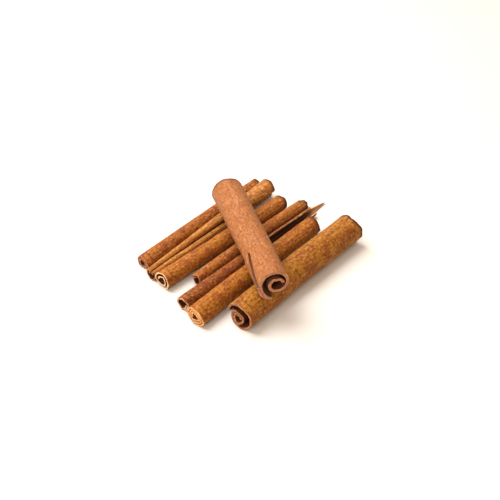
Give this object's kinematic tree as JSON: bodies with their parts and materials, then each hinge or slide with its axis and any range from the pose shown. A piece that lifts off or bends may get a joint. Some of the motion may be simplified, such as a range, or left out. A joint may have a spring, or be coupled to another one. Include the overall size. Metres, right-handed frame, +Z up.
{
  "type": "stack of cinnamon sticks",
  "caption": "Dry cinnamon sticks in a loose stack: rolled bark quills lie side by side on the table and a thick one rests across them.",
  "frame": {"origin": "on the table, under the middle of the stack's bounding box", "axes": "+Z up; -Y is the side the stack is seen from, +X to its right; the lying quills run from -X -Y to +X +Y, about 41 degrees from +Y"},
  "size_m": [0.1054, 0.1078, 0.0271],
  "materials": {
    "quill_1_bark": "dry matt bark",
    "quill_2_bark": "dry matt bark",
    "quill_3_bark": "dry matt bark",
    "quill_4_bark": "dry matt bark",
    "quill_5_bark": "dry matt bark",
    "quill_6_bark": "dry matt bark",
    "quill_7_bark": "dry matt bark",
    "quill_top_bark": "dry matt bark"
  },
  "bodies": {
    "root": {"quill_1": "quill_1_bark", "quill_2": "quill_2_bark", "quill_3": "quill_3_bark", "quill_4": "quill_4_bark", "quill_5": "quill_5_bark", "quill_6": "quill_6_bark", "quill_7": "quill_7_bark", "quill_top": "quill_top_bark"}
  },
  "joints": []
}
